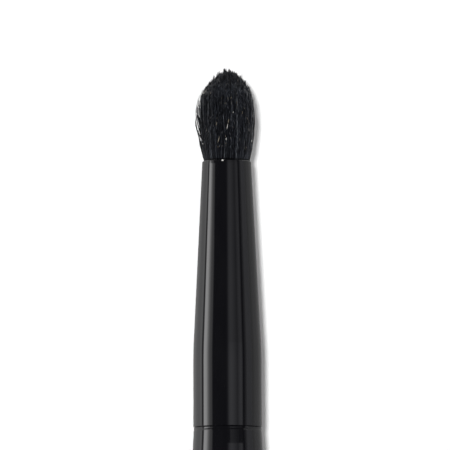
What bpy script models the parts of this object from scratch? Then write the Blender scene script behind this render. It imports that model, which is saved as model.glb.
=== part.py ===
"""Smudger brush: a dense domed tuft of hair glued into a black metal ferrule on a lacquered wooden handle.

Every piece is modelled round one long axis, local X, from the handle's tail at x = 0 to the tip of the tuft.
An empty then lays the brush down on the handle's belly, which has most of its weight, with its tuft
towards +X. Metres, +Z up.
"""

from collections import namedtuple
from math import cos, floor, pi, radians, sin, sqrt

import bmesh
import bpy
from mathutils import Vector
from mathutils.geometry import delaunay_2d_cdt

# Handle
HANDLE_LENGTH = 0.12285  # tail to shoulder
TAIL_DIAMETER = 0.0056
TAIL_ROUNDING = 0.0024
TAIL_FLAT_DIAMETER = 0.0026
TAIL_SLOPE = 0.012  # how fast the radius grows just ahead of the rounded tail
BELLY_DIAMETER = 0.0100
BELLY_LENGTH = 0.0200  # the straight stretch that the brush lies on
BELLY_SETBACK = 0.0175  # front of the belly to the shoulder
SHOULDER_DIAMETER = 0.0089
NECK_DEPTH = 0.00016  # from the shoulder down to the neck, and the shoulder's rounding
NECK_WIDTH = 0.00028
TENON_LENGTH = 0.0160
TENON_CHAMFER = 0.0006

# Ferrule
FERRULE_LENGTH = 0.03487
SEAT_DIAMETER = 0.00898  # at the handle end
BEND_DIAMETER = 0.00894  # where the straight part turns into the cone
BEND_SETBACK = 0.0099  # handle end to bend
BEND_BLEND = 0.0026
MOUTH_DIAMETER = 0.0064
FERRULE_WALL = 0.0003
SEAT_ROUNDING = 0.00015

# Hair
HAIR_EXPOSED = 0.0118  # mouth of the ferrule to the tip
HAIR_BELLY_DIAMETER = 0.0073
HAIR_BELLY_HEIGHT = 0.0042  # above the mouth
DOME_START = 0.0055  # above the mouth
DOME_EDGE, DOME_TOP = 1.5, 0.4  # powers that round the dome at its edge and at its top
ROOT_DIAMETER = 0.0043
ROOT_DEPTH = 0.0125  # mouth to the bottom of the bound roots
ROOT_CYLINDER = 0.0060
SLICE_SETBACK = 0.0016  # mouth to the level where the strands part
STRAND_COUNT = 320
STRAND_DIAMETER = 0.00017
STRAND_SWELL = 1.35  # a strand's thickness where the tuft is fullest, against its root
STRAND_FLARE = 0.85  # share of the spread that is reached half-way to the belly
STRAND_FULL = 0.60  # share of a strand above the belly that keeps its thickness
STRAND_CLOSING = 0.16  # how far the innermost strands close in towards the tip
STRAND_UNEVENNESS = 0.0005  # how much neighbouring strands differ in length

# Thread and glue
THREAD_DIAMETER = 0.0003
THREAD_PITCH = 0.00075
THREAD_TURNS = 5
THREAD_SETBACK = 0.0008  # bottom of the roots to the first turn
PLUG_FLOOR = 0.0020
PLUG_DEPTH = 0.0055  # how far the roots stand in the glue
TENON_GLUE = 0.00025
TENON_GLUE_MARGIN = 0.0006  # bare wood left at each end of the glue

FIT_GAP = 0.00012  # radial or axial clearance between touching pieces

# Fineness of the meshes
SIDES = 20  # facets of everything that is turned
ARC_STEPS = 4
TAPER_STEPS = 14
SHOULDER_STEPS = 7
CONE_STEPS = 5
STRAND_SIDES = 3
THREAD_TURN_STEPS = 24
THREAD_BEVEL_RESOLUTION = 1
SHARP_EDGE = 40  # degrees, above which an edge isn't shaded smooth
SHARP_HAIR_EDGE = 130
SAME_POINT = 1e-9

# Finishes
Finish = namedtuple("Finish", "name colour roughness metallic coat")
BLACK_LACQUER = Finish("black_lacquered_wood", (0.006, 0.006, 0.007), 0.12, 0.0, 1.0)
BLACK_METAL = Finish("black_gloss_metal", (0.008, 0.008, 0.009), 0.12, 0.3, 1.0)
BLACK_HAIR = Finish("black_hair", (0.012, 0.013, 0.015), 0.5, 0.0, 0.0)
COTTON = Finish("binding_cotton", (0.72, 0.68, 0.60), 0.9, 0.0, 0.0)
JOINT_GLUE = Finish("cured_glue", (0.55, 0.46, 0.28), 0.35, 0.0, 0.0)
CAST_GLUE = Finish("plug_glue", (0.50, 0.42, 0.26), 0.35, 0.0, 0.0)

# Levels along the brush, each measured from the tail
TENON_X = HANDLE_LENGTH + NECK_WIDTH
FERRULE_X = TENON_X + FIT_GAP
BEND_X = FERRULE_X + BEND_SETBACK
MOUTH_X = FERRULE_X + FERRULE_LENGTH
SLICE_X = MOUTH_X - SLICE_SETBACK
ROOT_X = MOUTH_X - ROOT_DEPTH
TENON_END_X = TENON_X + TENON_LENGTH


def clear_scene():
    for thing in list(bpy.data.objects):
        bpy.data.objects.remove(thing, do_unlink=True)


def finish_material(finish):
    material = bpy.data.materials.new(finish.name)
    material.use_nodes = True
    shader = material.node_tree.nodes["Principled BSDF"]
    shader.inputs["Base Color"].default_value = (*finish.colour, 1.0)
    shader.inputs["Roughness"].default_value = finish.roughness
    shader.inputs["Metallic"].default_value = finish.metallic
    shader.inputs["Coat Weight"].default_value = finish.coat
    return material


def add_object(name, mesh_data, material, smooth_below=SHARP_EDGE):
    """Turns a bmesh into a named object, smooth except at edges sharper than smooth_below degrees."""
    bmesh.ops.recalc_face_normals(mesh_data, faces=mesh_data.faces)
    mesh = bpy.data.meshes.new(name)
    mesh_data.to_mesh(mesh)
    mesh_data.free()
    mesh.shade_smooth()
    mesh.set_sharp_from_angle(angle=radians(smooth_below))
    mesh.materials.append(material)
    thing = bpy.data.objects.new(name, mesh)
    bpy.context.scene.collection.objects.link(thing)
    return thing


def add_ring(mesh_data, x, radius):
    """One turned ring round the long axis. A flat facet, not a corner, points straight down."""
    step = 2 * pi / SIDES
    return [
        mesh_data.verts.new((x, radius * sin((i + 0.5) * step), radius * cos((i + 0.5) * step)))
        for i in range(SIDES)
    ]


def bridge(mesh_data, first, second):
    for i in range(len(first)):
        after = (i + 1) % len(first)
        mesh_data.faces.new((first[i], first[after], second[after], second[i]))


def turned_rod(mesh_data, outline, capped_end=True):
    """Turns an outline of (x, radius) points into a solid rod and returns its last ring."""
    rings = [add_ring(mesh_data, x, radius) for x, radius in outline]
    for first, second in zip(rings, rings[1:]):
        bridge(mesh_data, first, second)
    mesh_data.faces.new(rings[0])
    if capped_end:
        mesh_data.faces.new(rings[-1])
    return rings[-1]


def turned_sleeve(mesh_data, outline):
    """Turns a closed outline that stays clear of the axis into a ring-shaped solid."""
    rings = [add_ring(mesh_data, x, radius) for x, radius in outline]
    for first, second in zip(rings, rings[1:] + rings[:1]):
        bridge(mesh_data, first, second)


def arc(centre, reach, start, end):
    """Points on an ellipse about centre (x, radius), with reach (along x, outwards), between two angles."""
    points = []
    for i in range(ARC_STEPS + 1):
        angle = radians(start + (end - start) * i / ARC_STEPS)
        points.append((centre[0] + reach[0] * cos(angle), centre[1] + reach[1] * sin(angle)))
    return points


def spaced(start, end, count):
    """The levels that cut the stretch from start to end into count equal steps, both ends included."""
    return [start + (end - start) * i / count for i in range(count + 1)]


def ferrule_radius(x):
    """Outer radius of the ferrule: a straight part and a cone, blended over a short length."""
    seat, bend, mouth = SEAT_DIAMETER / 2, BEND_DIAMETER / 2, MOUTH_DIAMETER / 2
    straight_slope = (bend - seat) / BEND_SETBACK
    cone_slope = (mouth - bend) / (MOUTH_X - BEND_X)
    past_bend = x - BEND_X
    if past_bend < -BEND_BLEND / 2:
        return bend + straight_slope * past_bend
    if past_bend > BEND_BLEND / 2:
        return bend + cone_slope * past_bend
    turn = (cone_slope - straight_slope) * (past_bend + BEND_BLEND / 2) ** 2 / (2 * BEND_BLEND)
    return bend + straight_slope * past_bend + turn


def bore_radius(x):
    return ferrule_radius(x) - FERRULE_WALL


def tenon_radius(x):
    """The tenon follows the ferrule's bore and leaves room for the glue, with a gap on each side of it."""
    return bore_radius(x) - TENON_GLUE - 2 * FIT_GAP


def ferrule_levels(start, end):
    """Levels that follow the ferrule's bend between start and end."""
    bend = spaced(BEND_X - BEND_BLEND / 2, BEND_X + BEND_BLEND / 2, ARC_STEPS)
    return [start, *(x for x in bend if start < x < end), end]


def taper_radius(x, belly_x):
    """Handle radius from the rounded tail to the belly at belly_x, on one smooth curve that ends level."""
    length = belly_x - TAIL_ROUNDING
    u = (x - TAIL_ROUNDING) / length
    tail, belly = TAIL_DIAMETER / 2, BELLY_DIAMETER / 2
    blend = 3 * u**2 - 2 * u**3
    return tail + (belly - tail) * blend + TAIL_SLOPE * length * (u - 2 * u**2 + u**3)


def handle_outline():
    """Tail, taper, belly, shoulder, neck and tenon, as (x, radius) points."""
    belly_front_x = HANDLE_LENGTH - BELLY_SETBACK
    belly_back_x = belly_front_x - BELLY_LENGTH
    shoulder_x = HANDLE_LENGTH - NECK_DEPTH
    belly, shoulder = BELLY_DIAMETER / 2, SHOULDER_DIAMETER / 2
    neck = shoulder - NECK_DEPTH
    tail_reach = (TAIL_ROUNDING, (TAIL_DIAMETER - TAIL_FLAT_DIAMETER) / 2)
    outline = arc((TAIL_ROUNDING, TAIL_FLAT_DIAMETER / 2), tail_reach, 180, 90)
    taper_levels = spaced(TAIL_ROUNDING, belly_back_x, TAPER_STEPS)
    outline += [(x, taper_radius(x, belly_back_x)) for x in taper_levels[1:]]
    for x in spaced(belly_front_x, shoulder_x, SHOULDER_STEPS)[:-1]:
        along = (x - belly_front_x) / (shoulder_x - belly_front_x)
        outline.append((x, belly - (belly - shoulder) * along**2))
    outline += arc((shoulder_x, neck), (NECK_DEPTH, NECK_DEPTH), 90, 0)
    outline.append((TENON_X, neck))
    outline += [(x, tenon_radius(x)) for x in ferrule_levels(TENON_X, TENON_END_X - TENON_CHAMFER)]
    outline.append((TENON_END_X, tenon_radius(TENON_END_X) - TENON_CHAMFER))
    return outline


def make_handle():
    solid = bmesh.new()
    turned_rod(solid, handle_outline())
    return add_object("handle", solid, finish_material(BLACK_LACQUER))


def make_ferrule():
    """A drawn tube with an inward round at the handle end and a full round lip at the mouth."""
    half_wall = FERRULE_WALL / 2
    lip_x = MOUTH_X - half_wall
    seat_x = FERRULE_X + SEAT_ROUNDING
    cone_x = BEND_X + BEND_BLEND
    levels = ferrule_levels(seat_x, cone_x) + spaced(cone_x, lip_x, CONE_STEPS)[1:]
    outline = arc((seat_x, ferrule_radius(seat_x) - SEAT_ROUNDING), (SEAT_ROUNDING, SEAT_ROUNDING), 180, 90)
    outline += [(x, ferrule_radius(x)) for x in levels[1:-1]]
    outline += arc((lip_x, ferrule_radius(lip_x) - half_wall), (half_wall, half_wall), 90, -90)
    outline += [(x, bore_radius(x)) for x in reversed(ferrule_levels(FERRULE_X, lip_x)[:-1])]
    solid = bmesh.new()
    turned_sleeve(solid, outline)
    return add_object("ferrule", solid, finish_material(BLACK_METAL))


def make_tenon_glue():
    """Cured glue between the handle's tenon and the ferrule's bore."""
    levels = ferrule_levels(FERRULE_X + TENON_GLUE_MARGIN, TENON_END_X - TENON_CHAMFER - TENON_GLUE_MARGIN)
    outline = [(x, bore_radius(x) - FIT_GAP) for x in levels]
    outline += [(x, bore_radius(x) - FIT_GAP - TENON_GLUE) for x in reversed(levels)]
    solid = bmesh.new()
    turned_sleeve(solid, outline)
    return add_object("tenon_glue", solid, finish_material(JOINT_GLUE))


def thread_reach():
    """Radius that the binding thread takes up round the roots."""
    return ROOT_DIAMETER / 2 + FIT_GAP + THREAD_DIAMETER


def make_glue_plug():
    """The cup of glue, cast in the ferrule, that holds the bound roots."""
    floor_x = ROOT_X - FIT_GAP
    rim_x = ROOT_X + PLUG_DEPTH
    cup = thread_reach() + FIT_GAP
    bottom_x = floor_x - PLUG_FLOOR
    outline = [(bottom_x, bore_radius(bottom_x) - FIT_GAP), (rim_x, bore_radius(rim_x) - FIT_GAP)]
    outline += [(rim_x, cup), (floor_x, cup)]
    solid = bmesh.new()
    turned_rod(solid, outline)
    return add_object("glue_plug", solid, finish_material(CAST_GLUE))


def make_binding_thread():
    """One thread wound round the roots in an open spiral."""
    radius = ROOT_DIAMETER / 2 + FIT_GAP + THREAD_DIAMETER / 2
    path = []
    for i in range(THREAD_TURNS * THREAD_TURN_STEPS + 1):
        turn = i / THREAD_TURN_STEPS
        x = ROOT_X + THREAD_SETBACK + THREAD_PITCH * turn
        path.append(Vector((x, radius * cos(2 * pi * turn), radius * sin(2 * pi * turn))))
    between_turns = min((b - a).length for a, b in zip(path, path[THREAD_TURN_STEPS:]))
    print(f"binding thread: least gap between turns {1000 * (between_turns - THREAD_DIAMETER):.2f} mm")
    curve = bpy.data.curves.new("binding_thread", "CURVE")
    curve.dimensions = "3D"
    curve.bevel_depth = THREAD_DIAMETER / 2
    curve.bevel_resolution = THREAD_BEVEL_RESOLUTION
    curve.use_fill_caps = True
    spline = curve.splines.new("POLY")
    spline.points.add(len(path) - 1)
    for point, place in zip(spline.points, path):
        point.co = (*place, 1.0)
    spline.use_smooth = True
    curve.materials.append(finish_material(COTTON))
    thread = bpy.data.objects.new("binding_thread", curve)
    bpy.context.scene.collection.objects.link(thread)
    return thread


def dome_height(radius):
    """Height above the mouth at which the dome of the tuft has this radius."""
    share = min(radius / (HAIR_BELLY_DIAMETER / 2), 1.0)
    return DOME_START + (HAIR_EXPOSED - DOME_START) * (1 - share**DOME_EDGE) ** DOME_TOP


def slice_radius():
    """Radius of the root slice where the strands part, clear of the ferrule's bore."""
    return bore_radius(SLICE_X) - 2 * FIT_GAP


def strand_stations(share, unevenness):
    """Levels of one strand as (height above the mouth, distance from the axis, thickness).

    share is the strand's place in the bundle, from 0 on the axis to 1 at its outside. All strands spread and
    close in alike, so none crosses another. Each ends in a point on the dome.
    """
    slim = STRAND_DIAMETER / 2
    full = slim * STRAND_SWELL
    mouth_reach = bore_radius(MOUTH_X) - FIT_GAP - slim
    root_reach = slice_radius() - slim - FIT_GAP / 2
    belly_reach = HAIR_BELLY_DIAMETER / 2 - full
    tip_reach = share * HAIR_BELLY_DIAMETER / 2 * (1 - STRAND_CLOSING * (1 - share))
    end = dome_height(tip_reach) + unevenness
    shoulder = HAIR_BELLY_HEIGHT + STRAND_FULL * (end - HAIR_BELLY_HEIGHT)
    flare_reach = mouth_reach + STRAND_FLARE * (belly_reach - mouth_reach)
    return [
        (SLICE_X - MOUTH_X, share * root_reach, slim),
        (0.0, share * mouth_reach, slim),
        (HAIR_BELLY_HEIGHT / 2, share * flare_reach, full),
        (shoulder, share * belly_reach, full),
        (end, tip_reach, 0.0),
    ]


def add_strand(solid, stations, turn):
    """A tapering strand at one angle round the axis. Returns its open root corners."""
    rings = []
    for height, reach, thickness in stations[:-1]:
        centre = Vector((MOUTH_X + height, reach * cos(turn), reach * sin(turn)))
        ring = []
        for i in range(STRAND_SIDES):
            corner = turn + 2 * pi * i / STRAND_SIDES
            ring.append(solid.verts.new(centre + thickness * Vector((0, cos(corner), sin(corner)))))
        rings.append(ring)
    for first, second in zip(rings, rings[1:]):
        bridge(solid, first, second)
    height, reach, _ = stations[-1]
    tip = solid.verts.new((MOUTH_X + height, reach * cos(turn), reach * sin(turn)))
    for i in range(STRAND_SIDES):
        solid.faces.new((rings[-1][i], rings[-1][(i + 1) % STRAND_SIDES], tip))
    return rings[0]


def fill_slice(solid, rim, roots):
    """Closes the top of the root slice round the roots of all the strands."""
    corners = list(rim)
    outlines = [(i, (i + 1) % len(rim)) for i in range(len(rim))]
    owner = [None] * len(rim)
    for number, root in enumerate(roots):
        start = len(corners)
        corners += root
        owner += [number] * len(root)
        outlines += [(start + i, start + (i + 1) % len(root)) for i in range(len(root))]
    places = [Vector((corner.co.y, corner.co.z)) for corner in corners]
    triangles = delaunay_2d_cdt(places, outlines, [], 0, SAME_POINT)[2]
    for triangle in triangles:
        owners = {owner[i] for i in triangle}
        if len(owners) > 1 or None in owners:
            solid.faces.new([corners[i] for i in triangle])


def make_hair_tuft():
    """Bound roots, turned as one slice, and the strands that grow out of it and spread into a dome."""
    solid = bmesh.new()
    root = ROOT_DIAMETER / 2
    outline = [(ROOT_X, root), (ROOT_X + ROOT_CYLINDER, root), (SLICE_X, slice_radius())]
    rim = turned_rod(solid, outline, capped_end=False)
    golden_angle = pi * (3 - sqrt(5))
    roots = []
    for i in range(STRAND_COUNT):
        share = sqrt((i + 0.5) / STRAND_COUNT)
        scatter = i * sqrt(2) - floor(i * sqrt(2)) - 0.5
        stations = strand_stations(share, STRAND_UNEVENNESS * scatter)
        roots.append(add_strand(solid, stations, i * golden_angle))
    fill_slice(solid, rim, roots)
    return add_object("hair_tuft", solid, finish_material(BLACK_HAIR), smooth_below=SHARP_HAIR_EDGE)


def lay_down(pieces):
    """Parents every piece to one empty and stands the middle of the brush's underside on the origin."""
    cradle = bpy.data.objects.new("laid_down", None)
    bpy.context.scene.collection.objects.link(cradle)
    for piece in pieces:
        piece.parent = cradle
    meshes = [piece.data for piece in pieces if piece.type == "MESH"]
    length = max(vertex.co.x for mesh in meshes for vertex in mesh.vertices)
    belly_facet = BELLY_DIAMETER / 2 * cos(pi / SIDES)
    cradle.location = (-length / 2, 0, belly_facet)


clear_scene()
lay_down(
    [
        make_handle(),
        make_ferrule(),
        make_tenon_glue(),
        make_glue_plug(),
        make_binding_thread(),
        make_hair_tuft(),
    ]
)
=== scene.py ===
"""Looks of the smudger brush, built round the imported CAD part.

A turned and lacquered handle, a coated ferrule and a dense tuft of fine hair, lying on a white floor. Metres,
+Z up, +X along the brush towards the tip of its tuft. The photograph's left is +Y.
"""

import random
from math import cos, exp, pi, radians, sin, sqrt

import bpy
import numpy as np
from mathutils import Matrix, Vector


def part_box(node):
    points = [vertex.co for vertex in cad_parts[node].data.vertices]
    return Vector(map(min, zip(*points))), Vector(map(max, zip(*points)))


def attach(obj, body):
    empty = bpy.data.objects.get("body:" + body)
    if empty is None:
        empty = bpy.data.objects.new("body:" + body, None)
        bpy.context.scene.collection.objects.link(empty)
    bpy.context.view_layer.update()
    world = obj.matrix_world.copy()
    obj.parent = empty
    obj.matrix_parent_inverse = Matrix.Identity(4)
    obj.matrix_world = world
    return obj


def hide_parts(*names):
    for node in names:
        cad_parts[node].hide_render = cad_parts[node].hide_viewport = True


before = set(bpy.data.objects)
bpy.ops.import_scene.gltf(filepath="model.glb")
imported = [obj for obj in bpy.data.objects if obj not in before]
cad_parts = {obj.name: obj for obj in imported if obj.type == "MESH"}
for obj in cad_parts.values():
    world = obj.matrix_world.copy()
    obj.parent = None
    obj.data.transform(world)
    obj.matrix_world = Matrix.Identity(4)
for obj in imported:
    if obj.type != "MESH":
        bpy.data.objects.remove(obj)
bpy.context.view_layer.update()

MILLIMETRE = 0.001
GOLDEN_ANGLE = pi * (3 - sqrt(5))

# Places read from the CAD model
handle_low, handle_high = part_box("handle")
ferrule_low, ferrule_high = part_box("ferrule")
TAIL_X, TENON_END_X = handle_low.x, handle_high.x
FERRULE_X, MOUTH_X = ferrule_low.x, ferrule_high.x
AXIS_Z = (handle_low.z + handle_high.z) / 2

# Handle, as in the CAD model
TAIL_DIAMETER = 0.0056
TAIL_ROUNDING = 0.0024
TAIL_FLAT_DIAMETER = 0.0026
TAIL_SLOPE = 0.012  # how fast the radius grows just ahead of the rounded tail
BELLY_LENGTH = 0.0200
BELLY_SETBACK = 0.0175  # front of the belly to the shoulder
SHOULDER_DIAMETER = 0.0089
TENON_CHAMFER = 0.0006
TENON_GLUE = 0.00025
FIT_GAP = 0.00012

# The handle's last stretch before the shoulder is straight, and a crease parts it from the curve behind it
STRAIGHT_LENGTH = 0.00183
STRAIGHT_SLOPE = 0.05215
CREASE_HALF = 0.000005
SHADING_INSET = 0.00001  # one more ring of points this close to an edge keeps the stretch beside it straight

# The neck as the photograph shows it, 0.1 mm wider than in the CAD model: a shallow V groove beside the
# shoulder, a narrow ring, then a second V between the ring and the ferrule
NECK_WIDTH = 0.00038
NECK_EDGE = 0.00003  # rounding of its edges
NECK_EDGE_TURN = 33  # degrees by which they turn into the grooves
GROOVE_WIDTH = 0.00014
GROOVE_DEPTH = 0.00006
RING_INSET = 0.00001  # how much smaller the ring's radius is than the shoulder's
RING_GAP = 0.00014  # from the ring to the ferrule
SEAT_GROOVE_DEPTH = 0.0001
NECK_CLEARANCE = 0.00002  # what the second V leaves to the ferrule

# Ferrule, as in the CAD model
SEAT_DIAMETER = 0.00898  # at the handle end
BEND_DIAMETER = 0.00894  # where the straight part turns into the cone
BEND_SETBACK = 0.0099  # handle end to bend
BEND_BLEND = 0.0026
MOUTH_DIAMETER = 0.0064
FERRULE_WALL = 0.0003

# Ferrule, as the photograph shows it: a crisper handle end than in the CAD model, and a bend with a crease
SEAT_ROUNDING = 0.00005
BEND_SHARE = 0.72  # of the bend is gradual, and the rest is a faint crease where the cone begins

# Fineness of the turned meshes
SIDES = 256
ARC_STEPS = 10
TAPER_STEPS, FRONT_STEPS, STRAIGHT_STEPS, TENON_STEPS = 60, 40, 6, 20
SEAT_STEPS, CONE_STEPS, BORE_STEPS = 30, 60, 30
SHARP_EDGE = 35  # degrees, above which an edge isn't shaded smooth

# The tuft, in the photograph's proportions
HAIR_EXPOSED = 0.01201  # mouth of the ferrule to the top of the dome
MOUTH_SPREAD = 0.00278  # radius of the hair bundle inside the ferrule
LIP_SPREAD = 0.00302  # radius to which it opens at once above the lip
BELLY_SPREAD = 0.0036  # radius towards which it opens further up
LIP_FLARE, BELLY_FLARE = 0.0002, 0.0034  # lengths over which it opens
DOME_START = 0.0055
DOME_EDGE, DOME_TOP = 1.46, 0.4  # powers that round the dome at its edge and at its top
DOME_ROUNDS = 3  # steps that find where a hair meets the dome
TIP_LEAN = 0.16  # share by which the hairs close in towards the tip
TIP_LEAN_POWER = 1.5
TUFT_SHIFT = -0.00010  # the tuft bulges this far to the photograph's right
SHIFT_HEIGHT, SHIFT_REACH = 0.0032, 0.0026  # where it does, and over what length
TIP_SHIFT, TIP_SHIFT_START, TIP_SHIFT_END = -0.00016, 0.0094, 0.0106  # its tip stands to the right too

# Hairs. A range is (least, most), and the spread of a value is its standard deviation.
HAIR_COUNT = 5000
HAIR_DIAMETER = 0.0001
HAIR_THICKNESS = (0.75, 1.25)  # range of a hair's own share of that diameter
HAIR_ROOT = 0.0013  # how far the modelled hairs reach down into the ferrule
HAIR_TURN = 0.02  # radians by which a hair may leave its even place
OUTER_SHARE = 0.78  # hairs beyond this share of the radius are seen along their whole length
OUTER_STATIONS, INNER_STATIONS = 12, 8
END_SPREAD = 0.00007  # spread of its tip's height
SHORT_SHARE, SHORT_MEAN = 0.35, 0.0012  # share of the hairs that are shorter, and by how much on average
LEAST_HEIGHT = 0.0015  # of a tip above the mouth
BEND_SPREAD, BEND_POWER = 0.00009, 1.4  # how far its tip bends aside, and how that grows with height
UNRULY_SHARE, UNRULY_BEND = 0.12, 2.5  # share of the hairs that bend more, and how many times more
WAVES = (6, 13)  # range of the radians that a hair's waves run through
WAVE_RATIO = 0.9  # of the waves up and down to the waves across
SWAY = (0.00003, 0.0001)  # range of how far the waves take it aside
SWAY_FULL = 0.5  # share of its height at which they reach that
TIP_START, TIP_THINNING = 0.9, 0.4  # past this share of its length a hair thins, by this share

# Clumps, which draw the tips of neighbouring hairs together
CLUMP_COUNT = 650
CLUMP_TURN = 1  # radians between the pattern of the clumps and the pattern of the hairs
CLUMP_SCATTER = 0.012  # spread of a clump's place, as a share of the radius
CLUMP_REACH = 0.045  # share of the radius from a clump's middle to its edge
CLUMP_POINT = 0.00030  # how much longer the middle of a clump is than its edge
CLUMP_DRIFT = 0.00008  # spread of how far its tips drift aside
CLUMP_LENGTH, CLUMP_LENGTH_SPREAD = -0.00014, 0.00008  # mean and spread of what it adds to its hairs
CLUMP_TIGHTNESS = (0.5, 0.85)  # range of the share by which it draws them in
CLUMP_DRAW = 6  # the power that keeps this to their tips
SPIKE_SHARE, SPIKE_LENGTH, SPIKE_TIGHTNESS = 0.3, (0.0001, 0.00035), 0.95  # some clumps stand out as spikes

# The dark body that closes the tuft under its outer hairs
CORE_SHARE = 0.88  # of the bundle's radius
CORE_DEPTH = 0.0006  # below the dome
CORE_STEPS = 12
CORE_TOP_START, CORE_TOP_END = 0.86, 0.10  # shares of the radius at which its rounded top begins and ends

# Single hairs that stand out of the tuft, in millimetres: side (1 is the photograph's left), height where the
# hair leaves the bundle, height of its tip, how far out its tip stands, and degrees off the side
STRAY_HAIRS = (
    (1, 2.4, 7.3, 0.58, -6), (1, 2.8, 6.9, 0.46, 4), (1, 3.4, 7.6, 0.36, -2), (1, 1.6, 5.6, 0.60, 8),
    (1, 0.8, 4.4, 0.40, -9), (1, 1.3, 6.0, 0.66, 1), (1, 3.6, 7.9, 0.50, 5), (1, 2.0, 6.4, 0.30, -12),
    (1, 0.3, 3.0, 0.24, 3), (1, 2.6, 5.6, 0.70, -3), (1, 0.5, 3.6, 0.42, 10), (1, 1.0, 5.0, 0.52, -4),
    (1, 4.4, 8.5, 0.36, 2), (1, 5.0, 8.9, 0.24, -5), (-1, 2.8, 6.3, 0.18, -3), (1, 6.5, 10.0, -0.42, 3),
    (1, 6.8, 9.5, -0.10, -4), (1, 7.2, 10.6, -0.85, -8), (-1, 7.0, 10.4, -0.60, 5),
)
STRAY_STATIONS = 9
STRAY_RADIUS = 0.00006  # metres
STRAY_TAPER, STRAY_TAPER_POWER = 0.5, 3
STRAY_SWING, STRAY_SWING_POWER = 1.9, 1.2  # radians of its arc, out of the bundle and a little back
STRAY_TUCK = 0.1  # share of its reach by which it starts inside the bundle
STRAY_RIPPLE, STRAY_RIPPLES = 0.02, 11  # millimetres, and radians over its length
STRAY_RIPPLE_START = 5  # radians that each millimetre of its starting height adds

# Paler hairs that show on top of the tuft, in millimetres: place to the left of the axis, height of its lower
# end, length, and drift to the left over that length
WHITE_HAIRS = (
    (-0.04, 3.86, 0.80, -0.14), (-0.87, 6.00, 0.24, -0.03), (0.04, 2.45, 0.36, 0.00),
    (3.00, 8.80, 0.25, -0.10), (-3.28, 2.42, 0.33, -0.05), (3.10, 2.15, 0.20, 0.05),
)
TAN_HAIRS = (
    (-0.23, 4.66, 0.65, -0.08), (1.14, 2.16, 0.90, -0.26), (1.33, 4.38, 0.78, -0.03),
    (1.08, 1.50, 0.26, 0.02), (0.10, 1.95, 0.22, 0.00), (0.10, 2.85, 0.25, 0.06), (-1.37, 7.20, 0.40, 0.02),
    (0.20, 7.20, 0.20, -0.05), (-2.05, 5.95, 0.35, -0.04), (-0.60, 7.90, 0.30, -0.05),
    (2.12, 8.65, 0.50, -0.22),
)
GREY_HAIRS = (
    (2.18, 3.60, 1.40, -0.26), (2.81, 8.95, 0.50, -0.20), (-0.39, 8.17, 0.40, -0.03),
    (-1.02, 9.00, 0.25, 0.00), (-1.47, 3.33, 0.50, -0.15), (-3.42, 5.75, 0.25, 0.00),
    (0.05, 1.60, 0.30, 0.02), (2.60, 7.95, 0.40, -0.15),
)
PALE_STATIONS = 5
PALE_LIFT = 0.00014  # above the tuft's mean surface, so that they lie on its outermost hairs
PALE_TAPER, PALE_TAPER_POWER = 0.8, 4
WHITE_RADIUS, GREY_RADIUS, TAN_RADIUS = 0.000055, 0.00005, 0.00004  # metres

# Faint short stretches of greyer hair at random places, in millimetres
FLECK_COUNT = 150
FLECK_RADIUS = 0.00004  # metres
FLECK_HEIGHTS, FLECK_LENGTHS = (1.0, 10.5), (0.2, 0.5)
FLECK_REACH = 0.93  # share of the tuft's half width
FLECK_LEAN, FLECK_LEAN_SPREAD = -0.05, 0.06

# The white speck on the ferrule's lip: a pale piece that also paints a glint there
GLINT_SPECK_TO_LEFT = 0.00052
GLINT_SPECK_RINGS = (  # place along the brush from the mouth, radius
    (-0.00026, 0.00012), (-0.00021, 0.00021), (-0.00015, 0.00023), (-0.00009, 0.00020), (-0.00003, 0.00006),
)

# Black gloss of the handle and the ferrule. A noise scale is the number of its features in a metre, along
# x, y and z.
GLOSS_COLOURS = ((0.0038, 0.0038, 0.0050), (0.0046, 0.0046, 0.0058))
GLOSS_ROUGHNESS = (0.018, 0.028)
GLOSS_IOR = 1.5
GLOSS_CLOUD, GLOSS_HAZE, GLOSS_RIPPLE = (220, 900, 900), (90, 700, 700), (500, 500, 500)
GLOSS_RIPPLE_DEPTH = 1e-7

# Tones of each kind of hair, from its darkest hair at 0 to its palest at 1: (place, colour)
BLACK_TONES = (
    (0.0, (0.0065, 0.0072, 0.0100)), (0.50, (0.0148, 0.0164, 0.0210)), (0.78, (0.037, 0.041, 0.050)),
    (0.94, (0.078, 0.084, 0.100)), (1.0, (0.16, 0.171, 0.188)),
)
STRAY_TONES = ((0.0, (0.003, 0.003, 0.004)), (1.0, (0.012, 0.012, 0.015)))
GREY_TONES = ((0.0, (0.04, 0.047, 0.058)), (0.7, (0.10, 0.11, 0.13)), (1.0, (0.20, 0.18, 0.155)))
TAN_TONES = ((0.0, (0.27, 0.22, 0.155)), (1.0, (0.43, 0.38, 0.30)))
WHITE_TONES = ((0.0, (0.72, 0.70, 0.65)), (1.0, (0.85, 0.85, 0.84)))
GLINT_SPECK_TONES = ((0.0, (0.84, 0.83, 0.80)), (1.0, (0.88, 0.87, 0.84)))

# What the darker and the paler stretches along a hair make of its tone
DYED_STRETCHES = ((0.17, 0.17, 0.17), (1.2, 1.2, 1.2))
UNDYED_STRETCHES = ((0.5, 0.48, 0.45), (1.0, 1.0, 1.0))
GLINT_SPECK_STRETCHES = ((0.85, 0.84, 0.82), (1.0, 1.0, 1.0))
DYED_ROUGHNESS, GREY_ROUGHNESS = (0.28, 0.45), (0.3, 0.45)
PALE_ROUGHNESS, GLINT_SPECK_ROUGHNESS = (0.35, 0.5), (0.5, 0.6)
# Noise scales of the hair, and how deep its fine scales are
HAIR_STRETCH, HAIR_HAZE, HAIR_SCALES = (2700, 9000, 9000), (600, 12000, 12000), (30000, 9000, 9000)
HAIR_SCALE_DEPTH = 0.000003
HAIR_SHINE = 0.15  # specular level of the soft hair
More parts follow.
